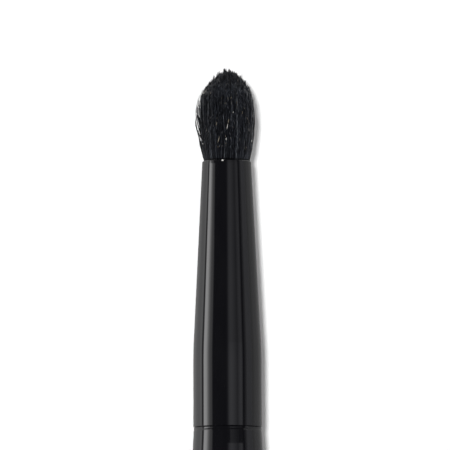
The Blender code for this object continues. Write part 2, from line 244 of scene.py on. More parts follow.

# Brightness of the dyed hair by millimetres above the ferrule: painted shade at and below the lip, paler just
# above it, and darker towards the tips
HEIGHT_TONE_AND_LIP_SHADE = (
    (-1.5, 0.2), (0.1, 0.2), (0.28, 1.3), (0.6, 1.25), (1.3, 1.05), (7.0, 1.0), (8.6, 0.8), (11.0, 0.84),
)
# The same by millimetres to the left of the axis: painted light on the right and painted shade on the left
PAINTED_SIDE_LIGHT_AND_SHADE = (
    (-3.6, 1.0), (-2.2, 1.22), (-1.4, 1.22), (-0.8, 1.0), (1.3, 1.0), (1.8, 0.68), (2.5, 0.68), (3.1, 0.9),
)

# Glue and thread inside the ferrule
GLUE_COLOURS, GLUE_ROUGHNESS = ((0.50, 0.40, 0.22), (0.62, 0.52, 0.32)), (0.25, 0.45)
GLUE_CLOUD, GLUE_BUMP = (700, 700, 700), 0.00002
COTTON_COLOURS, COTTON_ROUGHNESS = ((0.62, 0.57, 0.48), (0.80, 0.76, 0.68)), (0.8, 0.95)
COTTON_FIBRE, COTTON_BUMP = (9000, 3000, 3000), 0.00003

# Softboxes by direction. Across is the angle from straight up towards the photograph's right, in degrees, and
# lean the angle from there towards the tuft. Each stop is (angle, brightness).
LEFT_BOX = (
    (-91, 0.0), (-89.4, 0.4), (-86.4, 4.9), (-77, 4.8), (-73, 3.55), (-69, 2.2), (-65, 1.4), (-61, 0.86),
    (-56, 0.82), (-53, 0.35), (-50, 0.0),
)
OVERHEAD_BOX = (
    (-8, 0.0), (-4, 0.05), (0, 0.14), (6, 0.58), (12, 0.72), (18, 0.65), (34, 0.28), (40, 0.50), (47, 0.64),
    (51.5, 0.36), (54.5, 0.0),
)
RIGHT_BOX = ((55.5, 0.0), (62, 0.19), (66, 0.35), (70, 0.56), (98, 0.44))
LEFT_ALONG = ((-30, 0.0), (-18, 1.0), (20, 1.0), (32, 0.0))
RIGHT_ALONG = ((-45, 0.1), (-30, 1.0), (25, 1.0), (38, 0.05))
# The left softbox narrows towards its far corner: lean where that starts, degrees lost across for each degree
# of lean, and the most that is lost
CORNER_START, CORNER_RATE, CORNER_MOST = 10.3, 4.4, 12.0
LEFT_BOX_MIDDLE = -85.0  # across: only the part above it narrows
# There are two overhead softboxes in a row. The gap between them shows in the handle's shoulder, and the
# second shows in the cone. The gap is darker towards their rims than in their middles.
OVERHEAD_ALONG = (
    (4.5, 1.0), (8.88, 0.88), (8.91, 0.37), (9.35, 0.37), (9.4, 0.78), (10.4, 0.78), (14, 0.62),
)
OVERHEAD_RIM_ALONG = (
    (4.5, 1.0), (8.88, 0.88), (8.91, 0.1), (9.35, 0.1), (9.4, 0.78), (10.4, 0.78), (14, 0.62),
)
OVERHEAD_MIDDLE_START, OVERHEAD_MIDDLE_END = 8.0, 37.0  # across
OVERHEAD_START, OVERHEAD_END = -35.0, 30.0  # lean
VIEW_LEAN = 3.1  # lean of the camera as the shoulder sees it
# The overhead and right softboxes are mirrored a little cooler than the left one. The floor's shadow is
# neutral.
COOL_TINT = (-0.002, 0.004, 0.06)
STUDIO_LEVEL = 0.03  # of the walls between the softboxes
BRIGHTEST = 5.5  # the highest level that a gradient can hold
HORIZON = 0.043  # sine of the height up to which the white background goes
HORIZON_MIRRORED = 0.45  # what glossy surfaces show of it beside the brush, as dark as the mirrored paper
HORIZON_WHITE_LEAN = 14.0  # past this lean they show it white

KEY_DISTANCE = 1.5
KEY_LEAN = 4  # degrees from straight up towards the tuft
KEY_ACROSS = -7.3  # a little to the left, so that the shadow shows on the right
KEY_WIDTH, KEY_LENGTH = 0.19, 0.15
KEY_POWER = 19

FLOOR_SIZE = 12.0
FLOOR_COLOUR = (0.94, 0.94, 0.94, 1)
FLOOR_GLOW = 0.10  # keeps it white in view and in reflections

# Painted reflection of the paper under the brush, which the glossy sides mirror, as (millimetres to the left,
# brightness), with painted shade beside the brush. The background was whitened afterwards, so the paper shows
# darker in the reflections.
PAPER_STOPS = (
    (-61, 0.43), (-26, 0.50), (-8.4, 0.37), (-5, 0.25), (5, 0.25), (7, 0.50), (10, 0.68), (18, 0.91),
    (32, 1.26), (48, 1.41), (62, 1.41), (68, 0.3),
)
PAPER_HALF = 0.6
PAPER_WEDGE = 0.5  # metres ahead per metre aside. Beside the tuft the ferrule's lip mirrors the white floor.
PAPER_LIFT = 0.00004  # above the floor

CAMERA_HEIGHT = 0.685  # above the brush's axis
CAMERA_X = 0.0
AIM_X = 0.06475
AIM_Y = 0.00025  # puts the brush a little to the right of the picture's middle
CAMERA_ROLL = -0.226  # degrees
LENS = 419.8
SENSOR = 36
CLIP_START, CLIP_END = 0.01, 10

SHOULDER_X = FERRULE_X - FIT_GAP - NECK_WIDTH
CREASE_X = SHOULDER_X - STRAIGHT_LENGTH
BEND_X = FERRULE_X + BEND_SETBACK
CONE_START_X = BEND_X + BEND_BLEND * BEND_SHARE / 2


def link(name, data):
    """A new object that shows a mesh, a light or a camera."""
    thing = bpy.data.objects.new(name, data)
    bpy.context.scene.collection.objects.link(thing)
    return thing


def finished_piece(thing, material, slot, *nodes):
    """Gives a piece its material and tells the frame what it rides on and stands for. Its slot is not used.
    """
    thing.data.materials.append(material)
    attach(thing, "root")
    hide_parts(*nodes)
    return thing


def spaced(start, end, count):
    return [start + (end - start) * i / count for i in range(count + 1)]


def arc(centre, reach, start, end):
    """Points on an ellipse about centre (x, radius), with reach (along x, outwards), between two angles."""
    return [
        (centre[0] + reach[0] * cos(radians(angle)), centre[1] + reach[1] * sin(radians(angle)))
        for angle in spaced(start, end, ARC_STEPS)
    ]


def turned_mesh(name, outline, ring_shaped=False):
    """Turns (x, radius) points round the brush's axis, into a rod with flat ends or into a closed ring."""
    turns = [2 * pi * i / SIDES for i in range(SIDES)]
    corners = []
    for x, radius in outline:
        corners += [(x, radius * sin(turn), AXIS_Z + radius * cos(turn)) for turn in turns]
    faces = []
    count = len(outline)
    for ring in range(count if ring_shaped else count - 1):
        here, there = ring * SIDES, (ring + 1) % count * SIDES
        for i in range(SIDES):
            after = (i + 1) % SIDES
            faces.append((here + after, here + i, there + i, there + after))
    if not ring_shaped:
        faces.append(tuple(range(SIDES)))
        faces.append(tuple(reversed(range((count - 1) * SIDES, count * SIDES))))
    mesh = bpy.data.meshes.new(name)
    mesh.from_pydata(corners, [], faces)
    mesh.shade_smooth()
    mesh.set_sharp_from_angle(angle=radians(SHARP_EDGE))
    return mesh


def ferrule_radius(x):
    """Outer radius of the ferrule: a straight part and a cone, blended over a short length."""
    seat, bend, mouth = SEAT_DIAMETER / 2, BEND_DIAMETER / 2, MOUTH_DIAMETER / 2
    straight_slope = (bend - seat) / BEND_SETBACK
    cone_slope = (mouth - bend) / (MOUTH_X - BEND_X)
    past_bend = x - BEND_X
    into_blend = x - CONE_START_X + BEND_BLEND
    if into_blend < 0:
        return bend + straight_slope * past_bend
    if x > CONE_START_X:
        return bend + cone_slope * past_bend
    turn = (cone_slope - straight_slope) * BEND_SHARE * into_blend**2 / (2 * BEND_BLEND)
    return bend + straight_slope * past_bend + turn


def taper_radius(x, belly_x, belly):
    """Handle radius from the rounded tail to the belly, on one smooth curve that ends level."""
    start = TAIL_X + TAIL_ROUNDING
    length = belly_x - start
    u = (x - start) / length
    tail = TAIL_DIAMETER / 2
    blend = 3 * u**2 - 2 * u**3
    return tail + (belly - tail) * blend + TAIL_SLOPE * length * (u - 2 * u**2 + u**3)


def front_radius(x, belly_front_x, belly, shoulder):
    """Handle radius between the belly and the shoulder: a curve, then a straight stretch."""
    if x > CREASE_X:
        return shoulder + (SHOULDER_X - x) * STRAIGHT_SLOPE
    crease = shoulder + STRAIGHT_LENGTH * STRAIGHT_SLOPE
    along = (x - belly_front_x) / (CREASE_X - belly_front_x)
    return belly - (belly - crease) * along**2


def neck_outline(shoulder):
    """Shoulder edge, groove, ring and second groove, up to the ferrule."""
    edge, turn = (NECK_EDGE, NECK_EDGE), NECK_EDGE_TURN
    ring_start, ring_end = SHOULDER_X + GROOVE_WIDTH + NECK_EDGE, FERRULE_X - RING_GAP - NECK_EDGE
    ring = shoulder - RING_INSET
    ring_fall = (ring_end - ring_start) * STRAIGHT_SLOPE
    edge_radius = shoulder + NECK_EDGE * STRAIGHT_SLOPE - NECK_EDGE
    outline = arc((SHOULDER_X - NECK_EDGE, edge_radius), edge, 90, 90 - turn)
    outline.append((SHOULDER_X + GROOVE_WIDTH / 2, shoulder - GROOVE_DEPTH))
    outline += arc((ring_start, ring - NECK_EDGE), edge, 90 + turn, 90)
    for x in (ring_start + SHADING_INSET, ring_end - SHADING_INSET):
        outline.append((x, ring - (x - ring_start) * STRAIGHT_SLOPE))
    outline += arc((ring_end, ring - ring_fall - NECK_EDGE), edge, 90, 90 - turn)
    outline.append((FERRULE_X - NECK_CLEARANCE, shoulder - SEAT_GROOVE_DEPTH))
    return outline


def handle_outline():
    """Tail, taper, belly, shoulder, neck and tenon. The belly just touches the floor."""
    belly, shoulder = AXIS_Z, SHOULDER_DIAMETER / 2
    belly_front_x = SHOULDER_X - BELLY_SETBACK
    belly_back_x = belly_front_x - BELLY_LENGTH
    tail_reach = (TAIL_ROUNDING, (TAIL_DIAMETER - TAIL_FLAT_DIAMETER) / 2)
    outline = arc((TAIL_X + TAIL_ROUNDING, TAIL_FLAT_DIAMETER / 2), tail_reach, 180, 90)
    taper = spaced(TAIL_X + TAIL_ROUNDING, belly_back_x, TAPER_STEPS)[1:]
    outline += [(x, taper_radius(x, belly_back_x, belly)) for x in taper]
    front = spaced(belly_front_x, CREASE_X - CREASE_HALF, FRONT_STEPS)
    front += spaced(CREASE_X + CREASE_HALF, SHOULDER_X - NECK_EDGE - SHADING_INSET, STRAIGHT_STEPS)
    outline += [(x, front_radius(x, belly_front_x, belly, shoulder)) for x in front]
    outline += neck_outline(shoulder)
    tenon_inset = FERRULE_WALL + TENON_GLUE + 2 * FIT_GAP
    for x in spaced(FERRULE_X - NECK_CLEARANCE, TENON_END_X - TENON_CHAMFER, TENON_STEPS):
        outline.append((x, ferrule_radius(x) - tenon_inset))
    outline.append((TENON_END_X, ferrule_radius(TENON_END_X) - tenon_inset - TENON_CHAMFER))
    return outline


def ferrule_outline():
    """Rolled-in handle end, outer face, round lip and bore, as one closed outline."""
    half_wall = FERRULE_WALL / 2
    lip_x = MOUTH_X - half_wall
    seat_x = FERRULE_X + SEAT_ROUNDING
    outline = arc((seat_x, ferrule_radius(seat_x) - SEAT_ROUNDING), (SEAT_ROUNDING, SEAT_ROUNDING), 180, 90)
    face = spaced(seat_x, CONE_START_X - CREASE_HALF, SEAT_STEPS)[1:]
    face += spaced(CONE_START_X + CREASE_HALF, lip_x, CONE_STEPS)[:-1]
    outline += [(x, ferrule_radius(x)) for x in face]
    outline += arc((lip_x, ferrule_radius(lip_x) - half_wall), (half_wall, half_wall), 90, -90)
    outline += [(x, ferrule_radius(x) - FERRULE_WALL) for x in spaced(lip_x, FERRULE_X, BORE_STEPS)[1:]]
    return outline


def make_handle(material):
    handle = link("turned_handle", turned_mesh("turned_handle", handle_outline()))
    finished_piece(handle, material, "handle_lacquer", "handle")


def make_ferrule(material):
    ferrule = link("drawn_ferrule", turned_mesh("drawn_ferrule", ferrule_outline(), ring_shaped=True))
    finished_piece(ferrule, material, "ferrule_metal", "ferrule")


def hair_envelope(height):
    """How far the bundle spreads at a height above the mouth: it flares, and its tips lean in a little."""
    above = max(height, 0.0)
    spread = MOUTH_SPREAD + (LIP_SPREAD - MOUTH_SPREAD) * (1 - exp(-above / LIP_FLARE))
    spread += (BELLY_SPREAD - LIP_SPREAD) * (1 - exp(-above / BELLY_FLARE))
    lean = max((height - DOME_START) / (HAIR_EXPOSED - DOME_START), 0.0)
    return spread * (1 - TIP_LEAN * lean**TIP_LEAN_POWER)


def tuft_shift(height):
    """How far the tuft's middle stands to the left of the axis at a height above the mouth."""
    near_tip = min(max((height - TIP_SHIFT_START) / (TIP_SHIFT_END - TIP_SHIFT_START), 0.0), 1.0)
    return TUFT_SHIFT * exp(-(((height - SHIFT_HEIGHT) / SHIFT_REACH) ** 2)) + TIP_SHIFT * near_tip


def dome_height(radius):
    share = min(radius / BELLY_SPREAD, 1.0)
    return DOME_START + (HAIR_EXPOSED - DOME_START) * (1 - share**DOME_EDGE) ** DOME_TOP


def dome_radius(height):
    rise = min(max((height - DOME_START) / (HAIR_EXPOSED - DOME_START), 0.0), 1.0)
    return BELLY_SPREAD * (1 - rise ** (1 / DOME_TOP)) ** (1 / DOME_EDGE)


def surface_radius(height):
    """Radius of the tuft's mean surface at a height above the mouth."""
    return min(hair_envelope(height), dome_radius(height))


def hair_end(share):
    """Height at which a hair at this share of the bundle's radius meets the dome."""
    end = dome_height(share * BELLY_SPREAD)
    for _ in range(DOME_ROUNDS):
        end = dome_height(share * hair_envelope(end))
    return end


def strands_mesh(name, paths, radii):
    """Three-sided strands in one mesh, each ending in a point, from their points and the radii there."""
    count, stations = radii.shape
    around = np.arange(3) * 2 * pi / 3
    offsets = np.stack([np.zeros(3), np.sin(around), np.cos(around)], axis=1)
    rings = paths[:, :-1, None, :] + radii[:, :-1, None, None] * offsets[None, None]
    corners = np.concatenate([rings.reshape(count, -1, 3), paths[:, -1:, :]], axis=1)
    size = corners.shape[1]
    pattern = [(2, 1, 0)]
    for ring in range(stations - 2):
        for i in range(3):
            after = (i + 1) % 3
            pattern.append((3 * ring + i, 3 * ring + after, 3 * ring + 3 + after, 3 * ring + 3 + i))
    last = 3 * (stations - 2)
    pattern += [(last + i, last + (i + 1) % 3, size - 1) for i in range(3)]
    faces = [tuple(start + i for i in face) for start in range(0, count * size, size) for face in pattern]
    mesh = bpy.data.meshes.new(name)
    mesh.from_pydata(corners.reshape(-1, 3).tolist(), [], faces)
    mesh.shade_smooth()
    return mesh


def hair_piece(name, rows, material):
    """One piece from the rows (points, radii) of its strands."""
    paths = np.array([points for points, _ in rows])
    radii = np.array([radii for _, radii in rows])
    return finished_piece(link(name, strands_mesh(name, paths, radii)), material, "hair", "hair_tuft")


def even_place(i, count, turn):
    """Number i of count places spread evenly over a disc of radius 1."""
    share = sqrt((i + 0.5) / count)
    return np.array((share * sin(turn), share * cos(turn)))


def hair_places():
    """Place of each hair in a bundle of radius 1, spread evenly with a little scatter."""
    places = []
    for i in range(HAIR_COUNT):
        turn = i * GOLDEN_ANGLE + random.uniform(-HAIR_TURN, HAIR_TURN)
        places.append(even_place(i, HAIR_COUNT, turn))
    return np.array(places)


def scatter(spread):
    return np.array((random.gauss(0, spread), random.gauss(0, spread)))


def make_clumps():
    """Middle, drift, extra length and tightness of each clump of hairs, spread evenly over the bundle."""
    clumps = []
    for i in range(CLUMP_COUNT):
        middle = even_place(i, CLUMP_COUNT, i * GOLDEN_ANGLE + CLUMP_TURN) + scatter(CLUMP_SCATTER)
        extra = random.gauss(CLUMP_LENGTH, CLUMP_LENGTH_SPREAD)
        tightness = random.uniform(*CLUMP_TIGHTNESS)
        if random.random() < SPIKE_SHARE:
            extra += random.uniform(*SPIKE_LENGTH)
            tightness = SPIKE_TIGHTNESS
        clumps.append((middle, scatter(CLUMP_DRIFT), extra, tightness))
    return clumps


def hair_tip(place, middle, extra):
    """Height of a hair's tip above the mouth. The tip of a shorter hair lies on the hairs behind it."""
    share = min(float(np.hypot(*place)), 1.0)
    centred = max(1 - float(np.hypot(*(middle - place))) / CLUMP_REACH, 0.0)
    tip = hair_end(share) + extra + CLUMP_POINT * centred + random.gauss(0, END_SPREAD)
    if random.random() < SHORT_SHARE:
        tip -= random.expovariate(1 / SHORT_MEAN)
    return max(tip, LEAST_HEIGHT)


def hair_path(place, clump, stations):
    """Points and radii of one hair: it keeps its place up to near the tip, where its clump draws it in."""
    middle, drift, extra, tightness = clump
    tip = hair_tip(place, middle, extra)
    bend = scatter(BEND_SPREAD)
    if random.random() < UNRULY_SHARE:
        bend *= UNRULY_BEND
    wave = random.uniform(0, 2 * pi)
    waves = random.uniform(*WAVES)
    sway = random.uniform(*SWAY)
    thick = HAIR_DIAMETER / 2 * random.uniform(*HAIR_THICKNESS)
    points, radii = [], []
    for station in range(stations):
        along = 1 - (1 - station / (stations - 1)) ** 2
        height = -HAIR_ROOT + (tip + HAIR_ROOT) * along
        grown = max(height, 0.0) / tip
        side = (place + (middle - place) * tightness * grown**CLUMP_DRAW) * hair_envelope(height)
        side = side + bend * grown**BEND_POWER + drift * grown
        ripple = np.array((sin(wave + waves * along), cos(wave + WAVE_RATIO * waves * along)))
        side += sway * min(grown / SWAY_FULL, 1.0) * ripple
        points.append((MOUTH_X + height, side[0] + tuft_shift(height), AXIS_Z + side[1]))
        thinned = TIP_THINNING * max(along - TIP_START, 0.0) / (1 - TIP_START)
        radii.append(thick * (1 - thinned))
    return points, radii


def make_hair_core(material):
    outline = []
    for height in spaced(-HAIR_ROOT, DOME_START, CORE_STEPS):
        outline.append((MOUTH_X + height, CORE_SHARE * hair_envelope(height)))
    for share in spaced(CORE_TOP_START, CORE_TOP_END, CORE_STEPS):
        outline.append((MOUTH_X + hair_end(share) - CORE_DEPTH, share * BELLY_SPREAD))
    finished_piece(link("hair_core", turned_mesh("hair_core", outline)), material, "hair", "hair_tuft")


def make_hair(material):
    """The tuft: whole hairs in its outer layers, plainer ones inside, and a dark core that closes it."""
    places = hair_places()
    clumps = make_clumps()
    middles = np.array([clump[0] for clump in clumps])
    nearest = ((places[:, None] - middles[None]) ** 2).sum(axis=2).argmin(axis=1)
    outer = np.hypot(places[:, 0], places[:, 1]) > OUTER_SHARE
    left = places[:, 0] >= 0
    layers = {
        "outer_hair_left": (outer & left, OUTER_STATIONS),
        "outer_hair_right": (outer & ~left, OUTER_STATIONS),
        "inner_hair": (~outer, INNER_STATIONS),
    }
    for name, (chosen, stations) in layers.items():
        rows = [hair_path(places[i], clumps[nearest[i]], stations) for i in np.nonzero(chosen)[0]]
        hair_piece(name, rows, material)
    make_hair_core(material)


def stray_path(side, start, end, reach, off_side):
    """One hair that splays out of the tuft's side."""
    turn = radians(90 + off_side)
    points, radii = [], []
    for step in range(STRAY_STATIONS):
        along = step / (STRAY_STATIONS - 1)
        height = (start + (end - start) * along) * MILLIMETRE
        splay = sin(STRAY_SWING * along**STRAY_SWING_POWER) - STRAY_TUCK * (1 - along)
        ripple = STRAY_RIPPLE * sin(STRAY_RIPPLES * along + STRAY_RIPPLE_START * start)
        out = hair_envelope(height) + (reach * splay + ripple) * MILLIMETRE
        to_left = side * out * sin(turn) + tuft_shift(height)
        points.append((MOUTH_X + height, to_left, AXIS_Z + out * cos(turn)))
        radii.append(STRAY_RADIUS * (1 - STRAY_TAPER * along**STRAY_TAPER_POWER))
    return points, radii


def pale_path(across, start, length, drift, thick):
    """One stretch of paler hair that shows on the top of the tuft."""
    points, radii = [], []
    for step in range(PALE_STATIONS):
        along = step / (PALE_STATIONS - 1)
        height = (start + length * along) * MILLIMETRE
        to_left = (across + drift * along) * MILLIMETRE
        reach = surface_radius(height) + PALE_LIFT
        up = sqrt(max(reach**2 - (to_left - tuft_shift(height)) ** 2, 0.0))
        points.append((MOUTH_X + height, to_left, AXIS_Z + up))
        radii.append(thick * (1 - PALE_TAPER * (2 * along - 1) ** PALE_TAPER_POWER))
    return points, radii


def fleck_path():
    height = random.uniform(*FLECK_HEIGHTS)
    width = surface_radius(height * MILLIMETRE) / MILLIMETRE
    across = random.uniform(-FLECK_REACH, FLECK_REACH) * width
    length = random.uniform(*FLECK_LENGTHS)
    drift = random.gauss(FLECK_LEAN * across, FLECK_LEAN_SPREAD)
    return pale_path(across, height, length, drift, FLECK_RADIUS)


def make_single_hairs():
    """Stray hairs at the sides, and white, tan and grey ones on top."""
    stray = hair_material("stray_hair", STRAY_TONES, DYED_STRETCHES, DYED_ROUGHNESS)
    grey = hair_material("grey_hair", GREY_TONES, UNDYED_STRETCHES, GREY_ROUGHNESS)
    tan = hair_material("tan_hair", TAN_TONES, UNDYED_STRETCHES, PALE_ROUGHNESS)
    white = hair_material("white_hair", WHITE_TONES, UNDYED_STRETCHES, PALE_ROUGHNESS)
    hair_piece("stray_hairs", [stray_path(*row) for row in STRAY_HAIRS], stray)
    hair_piece("white_hairs", [pale_path(*row, WHITE_RADIUS) for row in WHITE_HAIRS], white)
    hair_piece("tan_hairs", [pale_path(*row, TAN_RADIUS) for row in TAN_HAIRS], tan)
    grey_rows = [pale_path(*row, GREY_RADIUS) for row in GREY_HAIRS]
    grey_rows += [fleck_path() for _ in range(FLECK_COUNT)]
    hair_piece("grey_hairs", grey_rows, grey)


# A pale speck on the lip that also stands in for a painted glint
def make_glint_speck():
    material = hair_material("pale_glint_speck", GLINT_SPECK_TONES, GLINT_SPECK_STRETCHES, GLINT_SPECK_ROUGHNESS)
    points = [(MOUTH_X + place, GLINT_SPECK_TO_LEFT, AXIS_Z + MOUTH_DIAMETER / 2) for place, _ in GLINT_SPECK_RINGS]
    hair_piece("lip_glint_speck", [(points, [radius for _, radius in GLINT_SPECK_RINGS])], material)


def new_material(name):
    """A material, its node tree and its Principled shader."""
    material = bpy.data.materials.new(name)
    material.use_nodes = True
    tree = material.node_tree
    return material, tree, tree.nodes["Principled BSDF"]


def add_node(tree, kind, values=(), **settings):
    """Adds a node, sets its plain settings and its input values by name or number."""
    node = tree.nodes.new(kind)
    for name, value in settings.items():
        setattr(node, name, value)
    for key, value in dict(values).items():
        node.inputs[key].default_value = value
    return node


def math_node(tree, operation, first, second=0.0, kind="ShaderNodeMath"):
    """One calculation with two sockets or numbers."""
    node = add_node(tree, kind, operation=operation)
    for socket, value in zip(node.inputs, (first, second)):
        if isinstance(value, bpy.types.NodeSocket):
            tree.links.new(value, socket)
        else:
            socket.default_value = value
    return node.outputs[0]


def colour_math(tree, operation, first, second):
    return math_node(tree, operation, first, second, "ShaderNodeVectorMath")


def coordinates(tree, space):
    """Sockets with x, y and z in a space of the Texture Coordinate node."""
    place = add_node(tree, "ShaderNodeTexCoord")
    split = add_node(tree, "ShaderNodeSeparateXYZ")
    tree.links.new(place.outputs[space], split.inputs[0])
    return split.outputs


def stretched_noise(tree, scale, detail=3.0):
    """Noise in the piece's own metres, stretched by scale (x, y, z)."""
    place = add_node(tree, "ShaderNodeTexCoord")
    mapping = add_node(tree, "ShaderNodeMapping", {"Scale": scale})
    noise = add_node(tree, "ShaderNodeTexNoise", {"Scale": 1.0, "Detail": detail})
    tree.links.new(place.outputs["Object"], mapping.inputs["Vector"])
    tree.links.new(mapping.outputs["Vector"], noise.inputs["Vector"])
    return noise.outputs["Fac"]


def ramp_node(tree, value, stops):
    """A colour ramp with stops (position, colour)."""
    ramp = add_node(tree, "ShaderNodeValToRGB")
    elements = ramp.color_ramp.elements
    while len(elements) < len(stops):
        elements.new(0.5)
    for element, (position, colour) in zip(elements, stops):
        element.position = position
        element.color = (*colour, 1)
    tree.links.new(value, ramp.inputs["Fac"])
    return ramp.outputs["Color"]


def colour_mix(tree, share, first, second):
    """A colour that runs from first to second as share goes from 0.35 to 0.65."""
    return ramp_node(tree, share, ((0.35, first), (0.65, second)))


def value_range(tree, share, low, high):
    """A number that runs from low to high as share goes from 0.3 to 0.7."""
    span = add_node(tree, "ShaderNodeMapRange", {1: 0.3, 2: 0.7, 3: low, 4: high})
    tree.links.new(share, span.inputs[0])
    return span.outputs[0]


def gradient(tree, value, stops):
    """A level by angle or place: straight between the stops, and even before the first and past the last."""
    low, high = stops[0][0], stops[-1][0]
    share = math_node(tree, "DIVIDE", math_node(tree, "SUBTRACT", value, float(low)), float(high - low))
    places = [((stop - low) / (high - low), (level / BRIGHTEST,) * 3) for stop, level in stops]
    return math_node(tree, "MULTIPLY", ramp_node(tree, share, places), BRIGHTEST)


def multiplied(tree, first, second):
    """The product of two colours."""
    blend = add_node(tree, "ShaderNodeMix", data_type="RGBA", blend_type="MULTIPLY")
    blend.inputs[0].default_value = 1.0
    tree.links.new(first, blend.inputs[6])
    tree.links.new(second, blend.inputs[7])
    return blend.outputs[2]


def add_bump(tree, shader, height, depth):
    bump = add_node(tree, "ShaderNodeBump", {"Distance": depth})
    tree.links.new(height, bump.inputs["Height"])
    tree.links.new(bump.outputs["Normal"], shader.inputs["Normal"])


def gloss_black(name):
    """Deep black gloss: a faint cloud in its colour, a little haze and an almost flat ripple."""
    material, tree, shader = new_material(name)
    cloud = stretched_noise(tree, GLOSS_CLOUD)
    tree.links.new(colour_mix(tree, cloud, *GLOSS_COLOURS), shader.inputs["Base Color"])
    haze = stretched_noise(tree, GLOSS_HAZE, detail=5.0)
    tree.links.new(value_range(tree, haze, *GLOSS_ROUGHNESS), shader.inputs["Roughness"])
    add_bump(tree, shader, stretched_noise(tree, GLOSS_RIPPLE, detail=1.0), GLOSS_RIPPLE_DEPTH)
    shader.inputs["IOR"].default_value = GLOSS_IOR
    return material


def toned_and_shaded(tree, colour):
    """The colour, made darker or paler by its height above the ferrule and by its place across the tuft:
    painted shade at the lip and on the left, painted light on the right.
    """
    x, y, _ = coordinates(tree, "Object")
    above_lip = math_node(tree, "DIVIDE", math_node(tree, "SUBTRACT", x, MOUTH_X), MILLIMETRE)
    to_left = math_node(tree, "DIVIDE", y, MILLIMETRE)
    by_height = gradient(tree, above_lip, HEIGHT_TONE_AND_LIP_SHADE)
    by_side = gradient(tree, to_left, PAINTED_SIDE_LIGHT_AND_SHADE)
    return multiplied(tree, colour, math_node(tree, "MULTIPLY", by_height, by_side))


def hair_material(name, tones, stretches, roughness, with_tone_and_shade=False):
    """Hair: each strand has its own tone, paler and darker stretches, fine scales and a faint sheen."""
    material, tree, shader = new_material(name)
    own = add_node(tree, "ShaderNodeNewGeometry")
    tone = ramp_node(tree, own.outputs["Random Per Island"], tones)
    stretch = colour_mix(tree, stretched_noise(tree, HAIR_STRETCH, detail=2.0), *stretches)
    colour = multiplied(tree, tone, stretch)
    # Painted shade at the lip and on the tuft's left, and painted light on its right
    if with_tone_and_shade:
        colour = toned_and_shaded(tree, colour)
    tree.links.new(colour, shader.inputs["Base Color"])
    haze = stretched_noise(tree, HAIR_HAZE, detail=2.0)
    tree.links.new(value_range(tree, haze, *roughness), shader.inputs["Roughness"])
    add_bump(tree, shader, stretched_noise(tree, HAIR_SCALES, detail=2.0), HAIR_SCALE_DEPTH)
    shader.inputs["Specular IOR Level"].default_value = HAIR_SHINE
    return material


def cloudy_material(name, cloud_scale, detail, colours, roughness, bump_depth):
    """A material whose colour, roughness and bump follow one noise."""
    material, tree, shader = new_material(name)
    cloud = stretched_noise(tree, cloud_scale, detail)
    tree.links.new(colour_mix(tree, cloud, *colours), shader.inputs["Base Color"])
    tree.links.new(value_range(tree, cloud, *roughness), shader.inputs["Roughness"])
    add_bump(tree, shader, cloud, bump_depth)
    return material


def glue_material():
    return cloudy_material("amber_glue", GLUE_CLOUD, 4.0, GLUE_COLOURS, GLUE_ROUGHNESS, GLUE_BUMP)


def cotton_material():
    return cloudy_material("binding_cotton", COTTON_FIBRE, 3.0, COTTON_COLOURS, COTTON_ROUGHNESS, COTTON_BUMP)


def refinish(node, material):
    """A CAD node that stays gets a better material."""
    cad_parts[node].data.materials.clear()
    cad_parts[node].data.materials.append(material)


def between(tree, value, low, high):
    above = math_node(tree, "GREATER_THAN", value, low)
    return math_node(tree, "MULTIPLY", above, math_node(tree, "LESS_THAN", value, high))


def overhead_boxes(tree, across, lean):
    """The two softboxes over the brush, with the gap between them. Their ends bow round the shoulder."""
    half_across = math_node(tree, "MULTIPLY", across, radians(0.5))
    bow = math_node(tree, "COSINE", half_across)
    past_view = math_node(tree, "DIVIDE", math_node(tree, "SUBTRACT", lean, VIEW_LEAN), bow)
    bowed = math_node(tree, "ADD", past_view, VIEW_LEAN)
    middle = between(tree, across, OVERHEAD_MIDDLE_START, OVERHEAD_MIDDLE_END)
    rim = math_node(tree, "SUBTRACT", 1.0, middle)
    in_middle = math_node(tree, "MULTIPLY", middle, gradient(tree, bowed, OVERHEAD_ALONG))
    in_rim = math_node(tree, "MULTIPLY", rim, gradient(tree, bowed, OVERHEAD_RIM_ALONG))
    within = between(tree, bowed, OVERHEAD_START, OVERHEAD_END)
    along = math_node(tree, "MULTIPLY", math_node(tree, "ADD", in_middle, in_rim), within)
    return math_node(tree, "MULTIPLY", gradient(tree, across, OVERHEAD_BOX), along)


def left_box(tree, across, lean):
    past_corner = math_node(tree, "MAXIMUM", math_node(tree, "SUBTRACT", lean, CORNER_START), 0.0)
    narrowing = math_node(tree, "MINIMUM", math_node(tree, "MULTIPLY", past_corner, CORNER_RATE), CORNER_MOST)
    inner_side = math_node(tree, "GREATER_THAN", across, LEFT_BOX_MIDDLE)
    moved = math_node(tree, "ADD", across, math_node(tree, "MULTIPLY", narrowing, inner_side))
    return math_node(tree, "MULTIPLY", gradient(tree, moved, LEFT_BOX), gradient(tree, lean, LEFT_ALONG))


def right_box(tree, across, lean):
    return math_node(tree, "MULTIPLY", gradient(tree, across, RIGHT_BOX), gradient(tree, lean, RIGHT_ALONG))


def softboxes(tree, across, lean, is_glossy):
    cool = math_node(tree, "ADD", right_box(tree, across, lean), overhead_boxes(tree, across, lean))
    tint = colour_math(tree, "ADD", colour_math(tree, "MULTIPLY", is_glossy, COOL_TINT), (1, 1, 1))
    return colour_math(tree, "ADD", left_box(tree, across, lean), colour_math(tree, "MULTIPLY", cool, tint))


